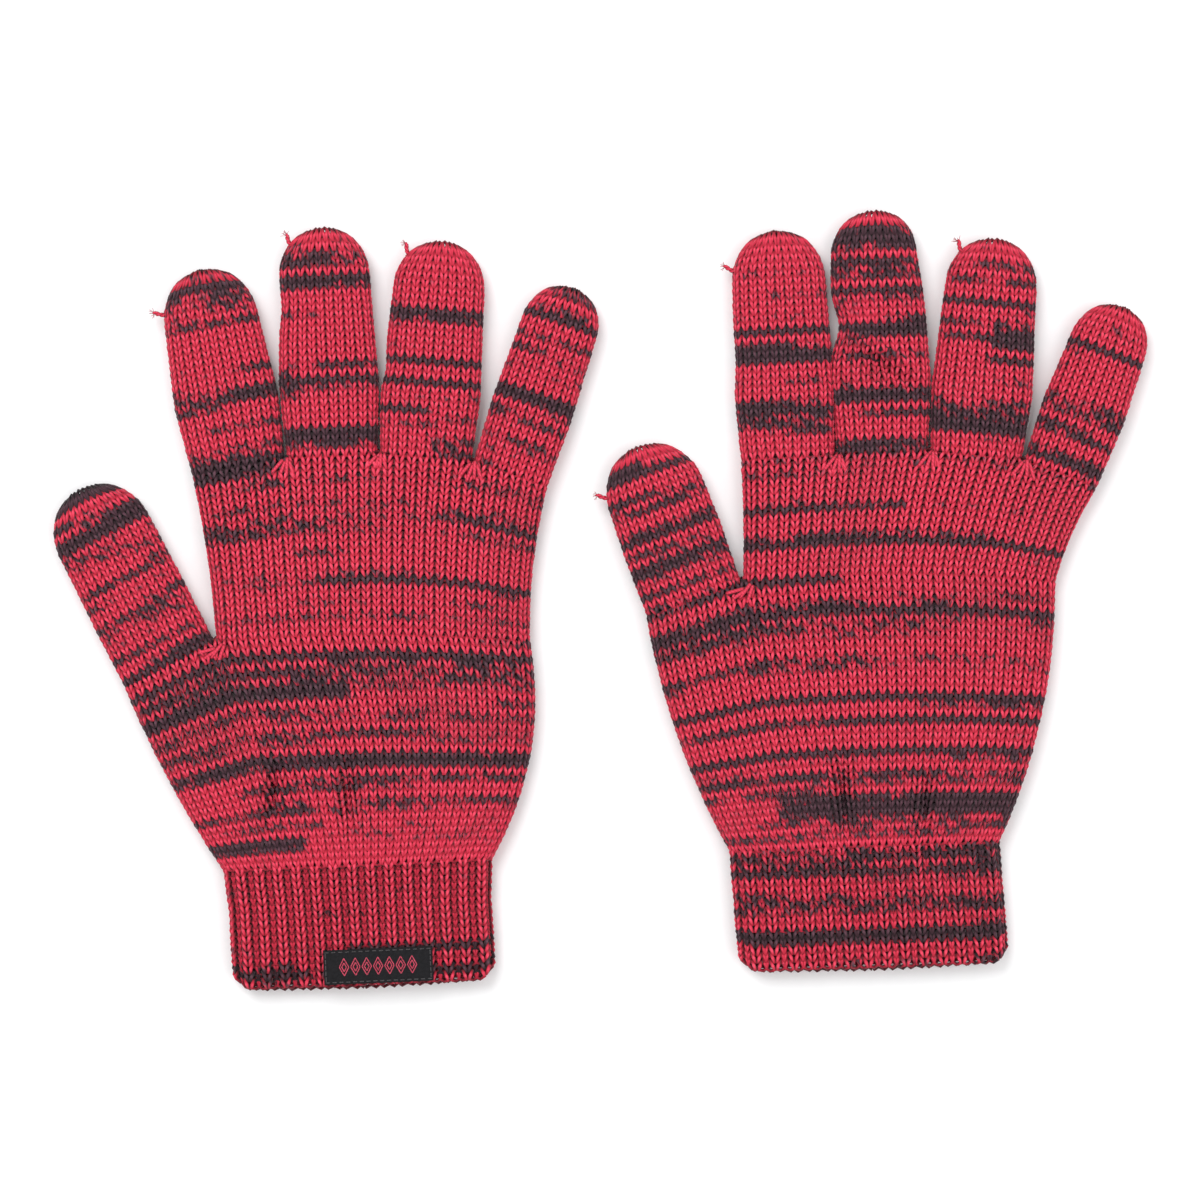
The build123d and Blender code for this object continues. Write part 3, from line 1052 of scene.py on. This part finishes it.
def yarn_tails(glove):
    """The ends of yarn at the closed tips, each a frayed pair of strands."""
    for name, digit in sorted(glove.digits.items()):
        node = f"{glove.side}_{name}_tail"
        if node not in nodes:
            continue
        points = node_points(node)
        across, _ = digit.hinge.local(points)
        root = points[across.argmax()]
        end = points[across.argmin()]
        way = (end - root) * (1, 1, 0)
        length = np.hypot(*way[:2])
        way = way / length
        start = np.array([root[0], root[1], half_height]) - way * 1.2 * MM
        line = curl(start, way, length * 0.45 + 1.2 * MM, 0.5 * MM, -1.4 * MM, 17)
        pair = [twisted(line, 0.30 * MM, 1.4, phase) for phase in (0, pi)]
        rng = np.random.default_rng(len(node) * 7 + len(name))
        frays = []
        for _ in range(9):
            turn = rng.uniform(-0.9, 0.9)
            fray_way = np.array([way[0] - turn * way[1], way[1] + turn * way[0], rng.uniform(-0.2, 0.5)])
            fray_way /= np.linalg.norm(fray_way)
            frays.append(curl(line[-3], fray_way, rng.uniform(1.0, 2.2) * MM, 0, rng.uniform(-1, 1) * MM))
        piece = cords(f"{glove.side}_{name}_yarn_end", pair, 0.42 * MM, YARN, 24)
        fray = cords(f"{glove.side}_{name}_fray", frays, 0.07 * MM, YARN, 10, 4)
        for part in (piece, fray):
            as_yarn(part, 0.36)
            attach(part, digit.hinge.body)
        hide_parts(node)


def crotch_stitches(glove):
    """The linking stitches that close each crotch, on both faces and through the fabric."""
    paths = []
    places = [(point, 0.0) for point in glove.knuckles[1:-1]] + [(glove.crotch, -35.0)]
    for point, lean in places:
        for face in (1, -1):
            for stitch in range(4):
                turn = radians(50 + lean + 19 * stitch)
                way = np.array([np.cos(turn), np.sin(turn)]) * face
                middle = point + np.array([(stitch - 1.5) * 1.5 * MM, -3.0 * MM - 0.9 * MM * (stitch % 2)])
                share = np.linspace(-1, 1, 13)
                plan = middle + np.outer(share * 2.6 * MM, way)
                lift = np.cos(share * pi / 2) ** 0.6 * 0.7 * MM
                z = half_height + face * (half_height - 1.5 * MM + lift)
                paths.append(np.column_stack([plan, z]))
        foot = point - np.array([0.0, 3.4 * MM])
        paths.append([(*foot, top_height - 1.8 * MM), (*foot, half_height), (*foot, 1.8 * MM)])
    piece = cords(f"{glove.side}_crotch_stitches", paths, 0.6 * MM, YARN, 14)
    as_yarn(piece, 0.34)
    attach(piece, f"{glove.side}_palm")
    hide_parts(f"{glove.side}_crotch_links")


def elastic_rings(glove):
    """The elastic threads inside the cuff."""
    smooth = Relief(1, [], [])
    smooth.waves = []
    depth = LINING_DEPTH + 1.3 * MM
    heights = np.linspace(0.14, 0.78, 5)
    rings = [course_points(glove.cuff, smooth, down, 121, depth, False) for down in heights]
    piece = cords(f"{glove.side}_elastic", rings, 0.3 * MM, ELASTIC, 120, 6)
    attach(piece, f"{glove.side}_cuff")
    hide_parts(f"{glove.side}_elastic_threads")


def label_pieces(glove):
    """The woven label: a soft tape that lies over the ribs, its motif and its sewn border."""
    box_low, box_high = (np.array(corner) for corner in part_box("right_label"))
    middle = (box_low + box_high)[:2] / 2
    cuff = glove.cuff.hinge
    across, along = cuff.local(node_points("right_label"))
    half_long, half_tall = np.ptp(across) / 2, np.ptp(along) / 2
    base = box_high[2] - 0.15 * MM

    def on_label(u, v, lift):
        """A point on the label, for u and v from -1 to 1."""
        u, v = np.broadcast_arrays(np.asarray(u, float), np.asarray(v, float))
        right = np.multiply.outer(u * half_long, cuff.across)
        upward = np.multiply.outer(v * half_tall, cuff.along)
        droop = 7.0 * MM * np.clip(np.abs(u) - 0.93, 0, 1)
        sag = 0.16 * MM * np.sin(u * 19.0) + 0.22 * MM * np.cos(v * 2.2) - droop
        return np.concatenate([middle + right + upward, (base + sag + lift)[..., None]], axis=-1)

    columns, rows = 67, 23
    u, v = np.meshgrid(np.linspace(-1, 1, columns), np.linspace(-1, 1, rows))
    v = v * (1 + 0.012 * np.sin(np.arange(columns) * 2.1))
    places = on_label(u, v, 0.0).reshape(-1, 3)
    mesh = new_mesh("woven_label", places, faces=grid_faces(rows, columns, False))
    shares = np.column_stack([(u.ravel() + 1) / 2, (v.ravel() + 1) / 2])
    write_map(mesh, shares[fetch(mesh.loops, "vertex_index", np.int32)])
    mesh.materials.append(LABEL)
    tape = placed("right_woven_label", mesh)
    walled(tape, 0.55 * MM)
    rim = tape.modifiers.new("rim", "BEVEL")
    rim.width = 0.12 * MM
    rim.segments = 2
    tape.data = finished(tape)
    tape.modifiers.clear()

    lozenges = []
    turn = np.linspace(0, 4, 25)
    u_path = 0.0861 * np.interp(turn, range(5), (0, 1, 0, -1, 0))
    v_path = 0.5 * np.interp(turn, range(5), (1, 0, -1, 0, 1))
    for centre in np.linspace(-0.62, 0.62, 7):
        for size in (1.0, 0.5):
            lozenges.append(on_label(centre + u_path * size, v_path * size, 0.06 * MM))
    motif = cords("right_label_motif", lozenges, 0.17 * MM, PINK_THREAD, 40, 6)

    border = []
    for v_edge in (-0.86, 0.86):
        for u_at in np.linspace(-0.93, 0.93, 16):
            border.append(on_label(np.linspace(u_at - 0.036, u_at + 0.036, 7), v_edge, 0.1 * MM))
    for u_edge in (-0.955, 0.955):
        for v_at in np.linspace(-0.66, 0.66, 5):
            border.append(on_label(u_edge, np.linspace(v_at - 0.12, v_at + 0.12, 7), 0.1 * MM))
    stitches = cords("right_label_stitching", border, 0.15 * MM, BLACK_THREAD, 8, 6)
    for piece, slot in ((tape, "label_cloth"), (motif, "label_thread"), (stitches, "label_thread")):
        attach(piece, "right_cuff")
    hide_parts("right_label")
    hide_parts("right_label_stitches")


# ---- Putting a glove together ----


def bend_over(piece, hinge, reach):
    """Works out points on the hinge's middle line at the root and at the reach, and bakes the piece's
    transform into its mesh.
    """
    hinge.point(0.0)
    hinge.point(reach)
    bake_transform(piece)


def make_glove(side, style, bands, seed):
    """Knits all sections of a glove and hangs the palm sections on the palm's body."""
    glove = Glove(side, style)
    dimples = [(point, 3.2 * MM, 2.0 * MM) for point in glove.knuckles[1:-1]]
    dimples.append((glove.crotch, 3.4 * MM, 2.2 * MM))
    relief = Relief(seed, dimples, style["creases"])
    base = {"cuff": style["cuff_plum"], "upper_palm": PALM_PLUM, "lower_palm": PALM_PLUM}
    for number, (name, section) in enumerate(glove.sections().items()):
        dye = Dye(seed * 100 + number, section.wales, bands[name], base.get(name, DIGIT_PLUM))
        depth = RIB_LINING_DEPTH if name == "cuff" else LINING_DEPTH
        sleeve = lining(f"{side}_{name}_inner_face", section, relief, dye, name in DIGITS, depth)
        if name == "lower_palm":
            half = section.courses // 2
            spans = {"thumb_palm": range(half), "heel": range(half, section.courses)}
        else:
            spans = {name: range(section.courses)}
        parts = [
            knit(f"{side}_{part}_knit", section, relief, dye, rows, name == "cuff")
            for part, rows in spans.items()
        ]
        for piece in parts + [sleeve]:
            if name in DIGITS:
                bend_over(piece, section.hinge, ROOT_BEND)
            elif name == "cuff":
                bend_over(piece, section.hinge, -CUFF_BEND)
            else:
                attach(piece, f"{side}_palm")
        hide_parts(f"{side}_cuff_rib" if name == "cuff" else f"{side}_{name}")
    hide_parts(f"{side}_cuff_welt")
    yarn_tails(glove)
    crotch_stitches(glove)
    elastic_rings(glove)
    return glove


def studio():
    """A pale floor and soft light from all round."""
    bpy.ops.mesh.primitive_plane_add(size=6.0, location=(0, 0, -0.0002))
    floor = bpy.context.object
    floor.name = "floor"
    floor.data.materials.append(floor_material())
    for name, place, turn, size, power in (
        ("key", (-0.55, 0.75, 1.25), (-32, -24, 0), 0.9, 14.0),
        ("fill", (0.9, -0.35, 1.1), (18, 40, 0), 1.4, 7.0),
    ):
        lamp = bpy.data.lights.new(name, "AREA")
        lamp.size = size
        lamp.energy = power
        holder = placed(name, lamp)
        holder.location = place
        holder.rotation_euler = [radians(x) for x in turn]
    world = bpy.data.worlds.new("studio")
    world.use_nodes = True
    sky = world.node_tree.nodes["Background"].inputs
    sky["Color"].default_value = (1, 1, 1, 1)
    sky["Strength"].default_value = 0.76
    bpy.context.scene.world = world
    bpy.context.scene.view_settings.view_transform = "Standard"


def camera():
    """A long lens straight above the middle of the pair."""
    view_width = 0.3624
    lens = bpy.data.cameras.new("camera")
    lens.lens = 100
    lens.sensor_width = 36
    holder = placed("camera", lens)
    holder.location = (0, 0, half_height + view_width * lens.lens / lens.sensor_width)
    bpy.context.scene.camera = holder


camera()
studio()
LOOPS = loop_tree()
CORDS = cord_tree()
YARN = yarn_material()
LINING = lining_material()
ELASTIC = elastic_material()
LABEL = label_material()
PINK_THREAD = thread_material("pink thread", (0.66, 0.045, 0.11, 1), (0.24, 0.008, 0.026, 1))
BLACK_THREAD = thread_material("black thread", (0.055, 0.05, 0.055, 1), (0.012, 0.011, 0.013, 1))

right_glove = make_glove("right", RIGHT_STYLE, RIGHT_BANDS, 11)
make_glove("left", LEFT_STYLE, LEFT_BANDS, 23)
label_pieces(right_glove)
